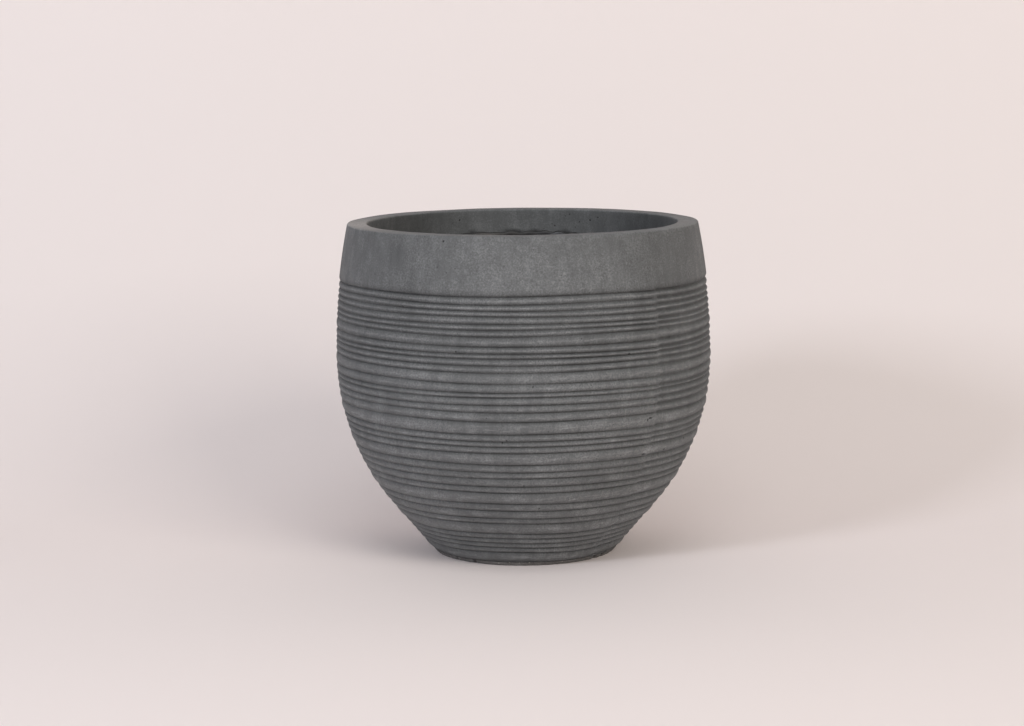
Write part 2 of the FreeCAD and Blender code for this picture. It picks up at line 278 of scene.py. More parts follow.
# The lip and the inside of the wall close the section
LIP_ARC_STEPS = 5
LIP_TOP_STEPS = 5
COLLAR_STEPS = 10
INNER_STEPS = 18
lip_inner = rim_radius - LIP_WIDTH
lip_bottom = HEIGHT - LIP_DEPTH
underside_start = lip_bottom - LIP_UNDERSIDE_DROP
inner_centre = Vector((lip_inner + LIP_INNER_RADIUS, HEIGHT - LIP_INNER_RADIUS))
section = []
for lean in np.linspace(rim_lean, math.pi / 2, LIP_ARC_STEPS)[1:]:
    section.append(outer_centre + LIP_OUTER_RADIUS * Vector((math.cos(lean), math.sin(lean))))
for across in np.linspace(outer_centre.x, inner_centre.x, LIP_TOP_STEPS + 1)[1:-1]:
    section.append(Vector((across, HEIGHT)))
for lean in np.linspace(math.pi / 2, math.pi, LIP_ARC_STEPS):
    section.append(inner_centre + LIP_INNER_RADIUS * Vector((math.cos(lean), math.sin(lean))))
for level in np.linspace(inner_centre.y, lip_bottom, COLLAR_STEPS + 1)[1:]:
    section.append(Vector((lip_inner, level)))
for level in np.linspace(underside_start, WALL_BOTTOM, INNER_STEPS):
    section.append(Vector((layer_radius(level, WALL_THICKNESS), level)))
foot_inset = RIB_INSET + FOOT_GROOVE_SHARE * GROOVE_DEPTH
section.append(Vector((layer_radius(WALL_BOTTOM, foot_inset), WALL_BOTTOM)))
section = np.array(section)
lip_turn, lip_row = np.meshgrid(wall_angles, np.arange(len(section)))
on_lip = np.clip((section[:, 1:] - lip_bottom) / LIP_DEPTH, 0, 1)
inward = np.clip((rim_radius - section[:, :1]) / LIP_WIDTH, 0, 1)
collar_wobble = WALL_WOBBLE * waves(wall_angles, 0, seed=14, around=8)
lip_radius = section[:, :1] + on_lip * (wobble[-1] * (1 - inward) + collar_wobble * inward)
ripple = np.abs(waves(lip_turn, lip_row, seed=15, around=9, along=0.5))
lip_height = section[:, 1:] - LIP_RIPPLE * on_lip ** 4 * ripple

wall_mesh = lathe(
    "ribbed_wall_cast",
    wall_angles,
    np.concatenate([radius + out_r * push, lip_radius]),
    np.concatenate([height + out_z * push, lip_height]),
)

# Brushing the sealing coat on leaves thin smears of it on the lip's inner face, above the coat's edge:
# degrees round from the front and reach
SMEAR_TOP = HEIGHT - 19 * MM
SMEARS = (
    (163, 9 * MM), (175, 11 * MM), (184, 16 * MM), (200, 8 * MM),
    (290, 14 * MM), (20, 12 * MM), (95, 10 * MM),
)
FACE_SHARE = 0.99
on_face = inward > FACE_SHARE
smear = 0 * lip_turn
for degrees, reach in SMEARS:
    smear = np.maximum(smear, np.exp(-((away_from(lip_turn, degrees) * lip_inner / reach) ** 2)))
smear = smear * np.clip((SMEAR_TOP - lip_height) / (SMEAR_TOP - lip_bottom), 0, 1) * on_face

# The top of the lip is painted paler in patches, most on its left: painted highlight where the light catches
# it.
# The lip's inner face is painted darker all round, and most in two places: painted shade inside the pot.
# Patches go by degrees round from the front, reach in degrees, and strength
LIP_PAINTED_HIGHLIGHTS = ((278, 25, 0.56), (80, 26, 0.17))
FACE_PAINTED_SHADE = ((125, 30, 0.6), (228, 25, 0.55))
FACE_SHADE_ALL_ROUND = 0.28


def patched(patches):
    """How strongly soft patches round the lip show, at each of its points."""
    total = 0 * lip_turn
    for degrees, reach, strength in patches:
        away = np.degrees(away_from(lip_turn, degrees))
        total = total + strength * np.exp(-((away / reach) ** 2))
    return total


def mark(mesh, name, values):
    """Keeps one value for each point of a mesh, under a name that the mesh's material reads."""
    kept = mesh.attributes.new(name, "FLOAT", "POINT")
    kept.data.foreach_set("value", values.reshape(-1).astype(np.float32))


on_top = np.clip((section[:, 1:] - HEIGHT + LIP_INNER_RADIUS) / LIP_INNER_RADIUS, 0, 1)
lip_highlight = on_top * patched(LIP_PAINTED_HIGHLIGHTS)
# The inner face is painted darker: painted shade inside the pot
face_shade_and_smoothing = on_face * (1 - on_top) * (FACE_SHADE_ALL_ROUND + patched(FACE_PAINTED_SHADE))
for name, outer, inner in (
    ("groove", groove, 0),
    ("flank", flank, 0),
    ("crest", crest, 0),
    ("run", run, 0),
    ("smear", 0, smear),
    ("lip_highlight", 0, lip_highlight),
    ("face_shade_and_smoothing", 0, face_shade_and_smoothing),
):
    mark(wall_mesh, name, np.concatenate([outer + 0 * turn, inner + 0 * lip_turn]))

# Air holes, knocks and bits pulled off by the mould: degrees round from the front, place up the wall, half
# width, half height and depth, in millimetres. On the lip's inner face the place is a height.
WALL_FAULTS = (
    (-25.3, 377.8, 1.2, 1.1, 1.3), (32.0, 262.3, 1.2, 1.1, 1.4), (40.9, 193.0, 2.6, 0.9, 1.1),
    (39.9, 191.4, 0.9, 1.7, 1.0), (51.0, 153.3, 0.8, 2.4, 0.9), (41.2, 152.3, 3.2, 1.0, 0.8),
    (44.8, 7.6, 3.4, 1.8, 1.7), (41.5, 6.6, 2.4, 1.2, 1.3), (-63.8, 7.5, 2.0, 1.5, 1.4),
    (130, 300, 1.3, 1.2, 1.3), (214, 118, 2.2, 0.9, 1.0), (222, 205, 2.8, 1.0, 1.0),
    (250, 366, 1.1, 1.1, 1.2),
)
COLLAR_FAULTS = (
    (152.5, 340, 1.1, 1.0, 1.1), (149, 343.5, 0.9, 0.9, 0.9), (157, 338, 0.8, 0.8, 0.8),
    (161, 346, 0.8, 0.7, 0.8), (167, 333, 1.0, 0.8, 0.8), (205, 341, 1.1, 0.9, 0.9),
    (318, 336, 1.3, 1.1, 1.0), (40, 339, 1.2, 1.2, 1.1),
)
STRAY_FAULTS = 26
STRAY_PLACES = (25, 380)
STRAY_SIZES = (0.6, 1.1)
FAULT_LOBES = 3
FAULT_LOBE_DEPTH = 0.22
FAULT_LOBE_TURN = 40
FAULT_MARGIN = 1.2 * MM
FAULT_SHELL = 3 * MM
FAULT_UP_CUTS = 2
FAULT_ROUND_CUTS = 9
draw = np.random.default_rng(seed=21)
stray = []
for _ in range(STRAY_FAULTS):
    stray.append((draw.uniform(0, 360), draw.uniform(*STRAY_PLACES), *draw.uniform(*STRAY_SIZES, 3)))
faults = []
for degrees, along, *size in WALL_FAULTS + tuple(stray):
    there, level, out, rise = wall_line(np.array(along * MM))
    faults.append((from_front(degrees), there, level, out, rise, *(length * MM for length in size)))
for degrees, level, *size in COLLAR_FAULTS:
    faults.append((from_front(degrees), lip_inner, level * MM, -1, 0, *(length * MM for length in size)))


def fault_place(points, angle, there, level, out, rise):
    """How far points lie from a fault round the pot, up its face and out of it, and which way is out."""
    face = np.array((out * math.cos(angle), out * math.sin(angle), rise))
    around = np.array((-math.sin(angle), math.cos(angle), 0))
    away = points - np.array((there * math.cos(angle), there * math.sin(angle), level))
    return away @ around, away @ np.cross(face, around), away @ face, face


# The mesh is cut finer round each fault, and the fault is then pressed into it
centres = np.zeros(len(wall_mesh.polygons) * 3)
wall_mesh.polygons.foreach_get("center", centres)
centres = centres.reshape(-1, 3)
cell = math.pi * BELLY_RADIUS / WALL_COLUMNS
shape = bmesh.new()
shape.from_mesh(wall_mesh)
shape.faces.ensure_lookup_table()
level_edges, upright_edges = {}, {}
for *spot, wide, tall, deep in faults:
    around, up, out, _ = fault_place(centres, *spot)
    near = (np.abs(around) < wide + cell) & (np.abs(up) < tall + FAULT_MARGIN)
    near &= np.abs(out) < FAULT_SHELL
    for number in np.flatnonzero(near):
        loops = shape.faces[number].loops
        level_edges.update({loops[0].edge: 1, loops[2].edge: 1})
        upright_edges.update({loops[1].edge: 1, loops[3].edge: 1})
cut = bmesh.ops.subdivide_edges(shape, edges=list(upright_edges), cuts=FAULT_UP_CUTS)
level_edges.update({item: 1 for item in cut["geom_inner"] if isinstance(item, bmesh.types.BMEdge)})
bmesh.ops.subdivide_edges(shape, edges=list(level_edges), cuts=FAULT_ROUND_CUTS)
shape.to_mesh(wall_mesh)
shape.free()
points = np.zeros(len(wall_mesh.vertices) * 3)
wall_mesh.vertices.foreach_get("co", points)
points = points.reshape(-1, 3)
pitted = np.zeros(len(points))
for *spot, wide, tall, deep in faults:
    around, up, out, face = fault_place(points, *spot)
    lobe = 1 + FAULT_LOBE_DEPTH * np.cos(FAULT_LOBES * np.arctan2(up, around) + spot[0] * FAULT_LOBE_TURN)
    inside = 1 - ((around / wide) ** 2 + (up / tall) ** 2) * lobe
    pit = deep * np.sqrt(np.maximum(inside, 0)) * (np.abs(out) < FAULT_SHELL)
    points -= pit[:, None] * face
    pitted = np.maximum(pitted, pit / deep)
wall_mesh.vertices.foreach_set("co", points.reshape(-1))
mark(wall_mesh, "pit", pitted)
wall_mesh.update()
wall = whole(wall_mesh)


def linear(colour):
    """An sRGB hex colour as linear red, green, blue and alpha."""
    parts = [int(colour[k:k + 2], 16) / 255 for k in (1, 3, 5)]
    return tuple(c / 12.92 if c <= 0.04045 else ((c + 0.055) / 1.055) ** 2.4 for c in parts) + (1,)


def add(tree, kind, sockets=None, **settings):
    """Adds a shader node with its settings, and sets or links the sockets that are named.

    A Mix node's colour sockets go by number: 0 is the share, 6 the first colour and 7 the second.
    """
    node = tree.nodes.new("ShaderNode" + kind)
    for name, value in settings.items():
        setattr(node, name, value)
    for name, value in (sockets or {}).items():
        if isinstance(value, bpy.types.NodeSocket):
            tree.links.new(value, node.inputs[name])
        else:
            node.inputs[name].default_value = value
    return node


def new_material(name):
    """A new material, its node tree and the shader of its surface."""
    material = bpy.data.materials.new(name)
    material.use_nodes = True
    return material, material.node_tree, material.node_tree.nodes["Principled BSDF"]


# Cast pigmented cement is matt and softly clouded, with a fine grain, pale lime bloom and dashes where the
# ribs were rubbed. Its sand is under half a millimetre, and is drawn at 1.7 mm so that it shows.
cement, tree, shader = new_material("cast_pigmented_cement")
place = add(tree, "TexCoord").outputs["Object"]
clouds = add(tree, "TexNoise", {"Vector": place, "Scale": 1 / (75 * MM), "Detail": 5, "Roughness": 0.6})
patches = add(tree, "TexNoise", {"Vector": place, "Scale": 1 / (20 * MM), "Detail": 5, "Roughness": 0.7})
grain = add(tree, "TexNoise", {"Vector": place, "Scale": 1 / (1.7 * MM), "Detail": 3, "Roughness": 0.6})
sideways = add(tree, "Mapping", {"Vector": place, "Scale": (1 / (16 * MM), 1 / (16 * MM), 1 / (2.5 * MM))})
dashes = add(tree, "TexNoise", {"Vector": sideways.outputs[0], "Scale": 1, "Detail": 3, "Roughness": 0.6})
upward = add(tree, "Mapping", {"Vector": place, "Scale": (1 / (9 * MM), 1 / (9 * MM), 1 / (45 * MM))})
runs = add(tree, "TexNoise", {"Vector": upward.outputs[0], "Scale": 1, "Detail": 4, "Roughness": 0.6})
pores = add(tree, "TexVoronoi", {"Vector": place, "Scale": 1 / (11 * MM), "Randomness": 1})
painted_groove_shade = add(tree, "Attribute", attribute_name="groove").outputs["Fac"]
on_flank = add(tree, "Attribute", attribute_name="flank").outputs["Fac"]
on_crest = add(tree, "Attribute", attribute_name="crest").outputs["Fac"]
on_run = add(tree, "Attribute", attribute_name="run").outputs["Fac"]
in_pit = add(tree, "Attribute", attribute_name="pit").outputs["Fac"]
smeared = add(tree, "Attribute", attribute_name="smear").outputs["Fac"]
on_lip_highlight = add(tree, "Attribute", attribute_name="lip_highlight").outputs["Fac"]
on_face_shade_and_smoothing = add(tree, "Attribute", attribute_name="face_shade_and_smoothing").outputs["Fac"]
cloud = add(tree, "MapRange", {"Value": clouds.outputs[0], "From Min": 0.34, "From Max": 0.66})
body = add(
    tree, "Mix", {0: cloud.outputs[0], 6: linear("#595B5C"), 7: linear("#646667")}, data_type="RGBA"
)
speckled = add(tree, "Math", {0: grain.outputs[0], 1: 0.6, 2: patches.outputs[0]}, operation="MULTIPLY_ADD")
lime = add(tree, "MapRange", {
    "Value": speckled.outputs[0], "From Min": 0.76, "From Max": 1.06, "To Max": 0.6,
})
bloomed = add(tree, "Mix", {0: lime.outputs[0], 6: body.outputs[2], 7: linear("#7A7C7D")}, data_type="RGBA")
rubbed = add(tree, "MapRange", {
    "Value": dashes.outputs[0], "From Min": 0.5, "From Max": 0.74, "To Max": 0.55,
})
dashed = add(tree, "Math", {0: rubbed.outputs[0], 1: on_crest}, operation="MULTIPLY")
paled = add(
    tree, "Mix", {0: dashed.outputs[0], 6: bloomed.outputs[2], 7: linear("#898B8C")}, data_type="RGBA"
)
# The lip's top is painted paler here: painted highlight
lip_highlighted = add(tree, "Mix", {0: on_lip_highlight, 6: paled.outputs[2], 7: linear("#AAA6A3")}, data_type="RGBA")
run_shade = add(tree, "MapRange", {
    "Value": runs.outputs[0], "From Min": 0.35, "From Max": 0.65, "To Min": 0.9, "To Max": 1.08,
})
speck = add(tree, "MapRange", {
    "Value": grain.outputs[0], "From Min": 0.3, "From Max": 0.7, "To Min": 0.76, "To Max": 1.24,
})
hole = add(tree, "MapRange", {
    "Value": pores.outputs[0], "From Min": 0.045, "From Max": 0.075, "To Min": 0.5, "To Max": 1,
})
# The grooves are painted darker the deeper they go: painted shade in the grooves
kept = add(tree, "MapRange", {"Value": painted_groove_shade, "From Min": 0.1, "To Min": 1, "To Max": 0.5})
# Painted shade on the ribs' slopes and painted highlight on their crowns
painted_flank_shade = add(tree, "MapRange", {"Value": on_flank, "To Min": 1, "To Max": 0.78})
painted_crest_highlight = add(tree, "MapRange", {"Value": on_crest, "To Min": 1, "To Max": 1.16})
damp = add(tree, "MapRange", {"Value": on_run, "To Min": 1, "To Max": 0.84})
# Air holes and knocks are painted darker the deeper they go: painted shade in the holes
painted_pit_shade = add(tree, "MapRange", {"Value": in_pit, "From Max": 0.7, "To Min": 1, "To Max": 0.25})
# The lip's inner face is painted darker: painted shade inside the pot
painted_face_shade = add(tree, "MapRange", {"Value": on_face_shade_and_smoothing, "To Min": 1, "To Max": 0.5})
tone = lip_highlighted.outputs[2]
for shade in (run_shade, hole, kept, painted_flank_shade, painted_crest_highlight, damp, painted_pit_shade, painted_face_shade):
    tone = add(
        tree, "Mix", {0: 1.0, 6: tone, 7: shade.outputs[0]}, data_type="RGBA", blend_type="MULTIPLY"
    ).outputs[2]
sandy = add(tree, "MapRange", {
    "Value": clouds.outputs[0], "From Min": 0.4, "From Max": 0.6, "To Min": 0.35, "To Max": 1,
})
# Where the inner face is painted darker, its grain is also kept smoother
unsmoothed = add(tree, "Math", {0: 1, 1: on_face_shade_and_smoothing}, operation="SUBTRACT")
grainy = add(tree, "Math", {0: sandy.outputs[0], 1: unsmoothed.outputs[0]}, operation="MULTIPLY")
tone = add(
    tree, "Mix", {0: grainy.outputs[0], 6: tone, 7: speck.outputs[0]}, data_type="RGBA", blend_type="MULTIPLY"
).outputs[2]
smear_edge = add(tree, "Math", {0: smeared, 1: patches.outputs[0]}, operation="MULTIPLY")
smear_mix = add(tree, "MapRange", {
    "Value": smear_edge.outputs[0], "From Min": 0.08, "From Max": 0.3, "To Max": 0.85,
})
tone = add(
    tree, "Mix", {0: smear_mix.outputs[0], 6: tone, 7: linear("#1E1E1F")}, data_type="RGBA"
).outputs[2]
rough = add(tree, "MapRange", {
    "Value": patches.outputs[0], "From Min": 0.3, "From Max": 0.7, "To Min": 0.78, "To Max": 0.94,
})
relief = add(tree, "Math", {0: grain.outputs[0], 1: dashes.outputs[0]}, operation="ADD")
bump = add(tree, "Bump", {"Height": relief.outputs[0], "Strength": 0.3, "Distance": 0.35 * MM})
shader.inputs["IOR"].default_value = 1.5
tree.links.new(tone, shader.inputs["Base Color"])
tree.links.new(rough.outputs[0], shader.inputs["Roughness"])
tree.links.new(bump.outputs[0], shader.inputs["Normal"])
wall.data.materials.append(cement)
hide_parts("ribbed_wall")
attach(wall, "pot")

# Base slab
# The base is poured last, of plain cement, and screeded off level. It closes the foot and bonds to the wall;
# its raw edge shows as a thin rough strip at the floor, and it stands on a ring round a shallow recess.
FOOT_TOP = 4.1 * MM
FOOT_SETBACK = 1 * MM
FOOT_RING_WIDTH = 16 * MM
FOOT_ROUGHNESS = 0.35 * MM
CRUMBLE_GRAIN = 0.6
CRUMBLE_LIMITS = (-1.6, 1.2)
SLAB_COLUMNS = 288
SLAB_STEP = 9 * MM
SLAB_DEPTH = 7.8 * MM
SLAB_HOLE = 15.3 * MM
RECESS_DEPTH = 5 * MM
EDGE_EASE = 0.6 * MM
slab_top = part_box("base_slab")[1].z


def eased(corners, step, ease_steps=3):
    """A closed section from corners of radius, height and rounding, with points at most a step apart."""
    line = []
    for k, (radius, height, ease) in enumerate(corners):
        here = Vector((radius, height))
        before = Vector(corners[k - 1][:2]) - here
        after = Vector(corners[(k + 1) % len(corners)][:2]) - here
        start, end = here + before.normalized() * ease, here + after.normalized() * ease
        for t in np.linspace(0, 1, ease_steps + 1 if ease else 1):
            line.append(start * (1 - t) ** 2 + here * 2 * t * (1 - t) + end * t ** 2)
    points = []
    for start, end in zip(line, line[1:] + line[:1]):
        parts = max(1, math.ceil((end - start).length / step))
        points += [start.lerp(end, k / parts) for k in range(parts)]
    return np.array(points)


foot_inner = layer_radius(0, FOOT_SETBACK) - FOOT_RING_WIDTH
slab_section = eased([
    (layer_radius(FOOT_TOP, SLAB_DEPTH), FOOT_TOP, 0),
    (layer_radius(FOOT_TOP, FOOT_SETBACK), FOOT_TOP, EDGE_EASE),
    (layer_radius(0, FOOT_SETBACK), 0, EDGE_EASE),
    (foot_inner, 0, EDGE_EASE),
    (foot_inner, RECESS_DEPTH, EDGE_EASE),
    (SLAB_HOLE, RECESS_DEPTH, EDGE_EASE),
    (SLAB_HOLE, slab_top, 0),
    (layer_radius(slab_top, SLAB_DEPTH), slab_top, 0),
], step=SLAB_STEP)
slab_angles = np.linspace(-math.pi, math.pi, SLAB_COLUMNS, endpoint=False)
slab_turn, slab_row = np.meshgrid(slab_angles, np.arange(len(slab_section)))
showing = (slab_section[:, :1] > foot_inner) & (slab_section[:, 1:] < FOOT_TOP + MM)
crumble = np.random.default_rng(seed=31).normal(0, CRUMBLE_GRAIN, slab_turn.shape)
crumble = crumble + waves(slab_turn, slab_row, seed=32, around=90, along=1.0)
slab_radius = slab_section[:, :1] + FOOT_ROUGHNESS * showing * np.clip(crumble, *CRUMBLE_LIMITS)
slab_height = slab_section[:, 1:] + 0 * slab_turn

# Bits broken off the foot's edge: degrees round from the front and half width
FOOT_CHIPS = (
    (48.6, 2.4 * MM), (55.6, 2.0 * MM), (-68, 2.0 * MM), (-33, 1.6 * MM), (-47, 1.2 * MM),
    (163, 3.0 * MM), (238, 2.2 * MM),
)
CHIP_DEPTH = 1.6 * MM
chipped = 0 * slab_turn
for degrees, reach in FOOT_CHIPS:
    around = away_from(slab_turn, degrees) * slab_section[:, :1]
    chipped = np.maximum(chipped, np.exp(-((around / reach) ** 4)))
chipped = chipped * showing
slab_mesh = lathe("base_slab_poured", slab_angles, slab_radius - CHIP_DEPTH * chipped, slab_height)
mark(slab_mesh, "pit", chipped)
slab = whole(slab_mesh)

# Raw poured cement has no moulded skin, so it is browner and rougher, with sand and pale lime specks in it.
# The sand is drawn at 1.6 mm, coarser than it is, so that it shows.
raw, tree, shader = new_material("raw_poured_cement")
place = add(tree, "TexCoord").outputs["Object"]
mottle = add(tree, "TexNoise", {"Vector": place, "Scale": 1 / (14 * MM), "Detail": 5, "Roughness": 0.7})
sand = add(tree, "TexNoise", {"Vector": place, "Scale": 1 / (1.6 * MM), "Detail": 3, "Roughness": 0.7})
flecks = add(tree, "TexVoronoi", {"Vector": place, "Scale": 1 / (7 * MM), "Randomness": 1})
body = add(tree, "Mix", {0: mottle.outputs[0], 6: linear("#4E4D4C"), 7: linear("#777573")}, data_type="RGBA")
grit = add(tree, "MapRange", {
    "Value": sand.outputs[0], "From Min": 0.3, "From Max": 0.7, "To Min": 0.62, "To Max": 1.3,
})
gritty = add(
    tree, "Mix", {0: 1.0, 6: body.outputs[2], 7: grit.outputs[0]}, data_type="RGBA", blend_type="MULTIPLY"
)
fleck = add(tree, "MapRange", {
    "Value": flecks.outputs[0], "From Min": 0.07, "From Max": 0.13, "To Min": 0.9, "To Max": 0,
})
flecked = add(
    tree, "Mix", {0: fleck.outputs[0], 6: gritty.outputs[2], 7: linear("#B9B4AA")}, data_type="RGBA"
)
bump = add(tree, "Bump", {"Height": sand.outputs[0], "Strength": 0.7, "Distance": 0.5 * MM})
shader.inputs["Roughness"].default_value = 0.95
shader.inputs["IOR"].default_value = 1.5
# Chips in the foot's edge are painted darker the deeper they go: painted shade in the chips
broken = add(tree, "Attribute", attribute_name="pit").outputs["Fac"]
shade = add(tree, "MapRange", {"Value": broken, "To Min": 1, "To Max": 0.22})
shaded = add(
    tree, "Mix", {0: 1.0, 6: flecked.outputs[2], 7: shade.outputs[0]}, data_type="RGBA", blend_type="MULTIPLY"
)
tree.links.new(shaded.outputs[2], shader.inputs["Base Color"])
tree.links.new(bump.outputs[0], shader.inputs["Normal"])
slab.data.materials.append(raw)
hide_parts("base_slab")
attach(slab, "pot")

# Fibre mats
# Six gores and a disc of chopped-strand glass mat are laid by hand on the wet wall and base, then wetted
# with cement slurry. They are buried under the lining, and the CAD nodes have their true shape.
STRAND_LENGTH = 45 * MM
STRAND_WIDTH = 1.1 * MM
STRAND_TURNS = ((0.3, 0.2, 0.5), (1.2, 0.4, 2.1), (0.2, 1.3, 1.1), (2.0, 0.9, 0.3))

# Chopped glass strand is pale and silky, with strands lying every way and grey slurry between them
glass, tree, shader = new_material("chopped_strand_glass_mat")
place = add(tree, "TexCoord").outputs["Object"]
strands = None
for lean in STRAND_TURNS:
    size = (STRAND_LENGTH, STRAND_WIDTH, STRAND_WIDTH)
    laid = add(tree, "Mapping", {"Vector": place, "Rotation": lean, "Scale": size}, vector_type="TEXTURE")
    strand = add(tree, "TexNoise", {"Vector": laid.outputs[0], "Scale": 1, "Detail": 1}).outputs[0]
    if strands:
        strand = add(tree, "Math", {0: strands, 1: strand}, operation="MAXIMUM").outputs[0]
    strands = strand
shown = add(tree, "MapRange", {"Value": strands, "From Min": 0.52, "From Max": 0.68})
wetted = add(
    tree, "Mix", {0: shown.outputs[0], 6: linear("#8E8F8A"), 7: linear("#E3E6DF")}, data_type="RGBA"
)
bump = add(tree, "Bump", {"Height": strands, "Strength": 0.6, "Distance": 0.3 * MM})
shader.inputs["Roughness"].default_value = 0.55
shader.inputs["IOR"].default_value = 1.52
tree.links.new(wetted.outputs[2], shader.inputs["Base Color"])
tree.links.new(bump.outputs[0], shader.inputs["Normal"])
for name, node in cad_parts.items():
    if name.startswith("fibre_mat"):
        node.data.materials.clear()
        node.data.materials.append(glass)

# Inner lining
# Cement render is trowelled over the mats to bury them, and makes the floor of the pot too. It lies under the
# sealing coat, and the CAD node has its true shape.

# Trowelled cement render is lighter than the pigmented wall, with drag marks and a fine sandy relief
render_coat, tree, shader = new_material("trowelled_cement_render")
place = add(tree, "TexCoord").outputs["Object"]
dragged = add(tree, "Mapping", {"Vector": place, "Scale": (1 / (30 * MM), 1 / (30 * MM), 1 / (5 * MM))})
drags = add(tree, "TexNoise", {"Vector": dragged.outputs[0], "Scale": 1, "Detail": 5, "Roughness": 0.65})
sand = add(tree, "TexNoise", {"Vector": place, "Scale": 1 / (1.8 * MM), "Detail": 2})
body = add(tree, "Mix", {0: drags.outputs[0], 6: linear("#6A6966"), 7: linear("#8D8B86")}, data_type="RGBA")
height = add(tree, "Math", {0: drags.outputs[0], 1: sand.outputs[0]}, operation="ADD")
bump = add(tree, "Bump", {"Height": height.outputs[0], "Strength": 0.5, "Distance": 0.5 * MM})
shader.inputs["Roughness"].default_value = 0.92
shader.inputs["IOR"].default_value = 1.5
tree.links.new(body.outputs[2], shader.inputs["Base Color"])
tree.links.new(bump.outputs[0], shader.inputs["Normal"])
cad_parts["inner_lining"].data.materials.clear()
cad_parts["inner_lining"].data.materials.append(render_coat)

# Sealing coat
# Two coats of bitumen paint are brushed over the lining and a little way up the lip's inner face, to keep
# soil water out of the cement. The brush leaves streaks round the wall and an uneven upper edge.
COAT_OUTER = 13.4 * MM
COAT_INNER = 14.6 * MM
COAT_GAP = 0.3 * MM
COAT_THICKNESS = 1.2 * MM
COAT_EDGE = 0.9 * MM
COAT_STREAK = 0.22 * MM
COAT_COLUMNS = 320
COAT_ROWS = 26
COAT_FLOOR_ROWS = 12
COAT_LAP_ROWS = 4
COAT_EDGE_DROP = 0.9 * MM
COAT_FEATHER_SHARE = 0.75
COAT_FLOOR_THIN = 0.1 * MM
COAT_HOLE = 25.3 * MM
LEVEL_TOLERANCE = 0.01 * MM
# Places where the brush ran higher: degrees round from the front, reach in degrees, and rise
COAT_LOBES = (
    (171, 8, 1.6 * MM), (186, 11, 2.0 * MM), (165.5, 1.6, 1.8 * MM), (20, 14, 2.2 * MM), (290, 9, 2.6 * MM),
)
coat_low, coat_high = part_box("sealing_coat")
coat_floor = coat_low.z + COAT_THICKNESS
coat_angles = np.linspace(-math.pi, math.pi, COAT_COLUMNS, endpoint=False)
underside_run = layer_radius(underside_start, WALL_THICKNESS) - lip_inner
underside_slope = LIP_UNDERSIDE_DROP / underside_run
underside_slant = math.hypot(underside_run, LIP_UNDERSIDE_DROP) / underside_run


def under_lip(radius, depth):
    """Height of the lip's slanted underside at a radius, lowered square to it by depth."""
    return lip_bottom - (radius - lip_inner) * underside_slope - depth * underside_slant


def coat_side(inset, depth, bottom, lap):
    """Points of one side of the coat, from the floor up the wall, under the lip and up its inner face."""
    top = under_lip(layer_radius(underside_start, inset), depth)
    side = [(layer_radius(level, inset), level) for level in np.linspace(bottom, top, COAT_ROWS)]
    return side + [(lap, under_lip(lap, depth))]


outside = coat_side(COAT_OUTER, COAT_GAP, coat_low.z, lip_inner - COAT_GAP)
inside_depth = COAT_GAP + COAT_THICKNESS
inside = coat_side(COAT_INNER, inside_depth, coat_floor, lip_inner - COAT_GAP - COAT_THICKNESS)
floor_radii = np.linspace(COAT_HOLE, inside[0][0], COAT_FLOOR_ROWS)[:-1]
lap_levels = np.linspace(0, 1, COAT_LAP_ROWS)[1:]
coat_section = [(COAT_HOLE, coat_low.z)] + outside
coat_section += [outside[-1]] * len(lap_levels) + [inside[-1]] * len(lap_levels)
coat_section += inside[::-1] + [(radius, coat_floor) for radius in floor_radii[::-1]]
coat_section = np.array(coat_section)
coat_turn, coat_row = np.meshgrid(coat_angles, np.arange(len(coat_section)))
coat_radius = coat_section[:, :1] + 0 * coat_turn
coat_height = coat_section[:, 1:] + 0 * coat_turn
edge = coat_high.z - COAT_EDGE_DROP + COAT_EDGE * waves(coat_angles, 0, seed=41, around=60, count=24)
for degrees, spread, rise in COAT_LOBES:
    edge = edge + rise * np.exp(-((np.degrees(away_from(coat_angles, degrees)) / spread) ** 2))
lap_first = 1 + len(outside)
lap_last = lap_first + 2 * len(lap_levels) - 1
feather = COAT_FEATHER_SHARE * COAT_THICKNESS * np.linspace(0, 1, len(lap_levels)) ** 2
for number, share in enumerate(lap_levels):
    for row, start in ((lap_first + number, outside[-1][1]), (lap_last - number, inside[-1][1])):
        coat_height[row] = start + share * (edge - start)
    coat_radius[lap_last - number] += feather[number]
facing = np.arange(len(coat_section)) > lap_last
streaks = COAT_STREAK * waves(coat_turn, coat_row, seed=42, around=11, along=2.5, count=30)
on_floor = facing & (coat_section[:, 1] <= coat_floor + LEVEL_TOLERANCE)
coat_radius -= streaks * (facing & ~on_floor)[:, None]
coat_height += np.maximum(streaks, -COAT_FLOOR_THIN) * on_floor[:, None]
coat = whole(lathe("sealing_coat_brushed", coat_angles, coat_radius, coat_height))

# Brushed bitumen paint is black and satin, glossier where it lies thick, with brush lines running round the
# wall and a little dust
bitumen, tree, shader = new_material("brushed_bitumen_paint")
place = add(tree, "TexCoord").outputs["Object"]
swept = add(tree, "Mapping", {"Vector": place, "Scale": (1 / (28 * MM), 1 / (28 * MM), 1 / (1.8 * MM))})
brush = add(tree, "TexNoise", {"Vector": swept.outputs[0], "Scale": 1, "Detail": 4, "Roughness": 0.6})
pools = add(tree, "TexNoise", {"Vector": place, "Scale": 1 / (40 * MM), "Detail": 4})
dust = add(tree, "TexNoise", {"Vector": place, "Scale": 1 / (6 * MM), "Detail": 6, "Roughness": 0.75})
dusted = add(tree, "MapRange", {
    "Value": dust.outputs[0], "From Min": 0.52, "From Max": 0.8, "To Max": 0.35,
})
body = add(
    tree, "Mix", {0: brush.outputs[0], 6: linear("#0B0B0C"), 7: linear("#1B1B1C")}, data_type="RGBA"
)
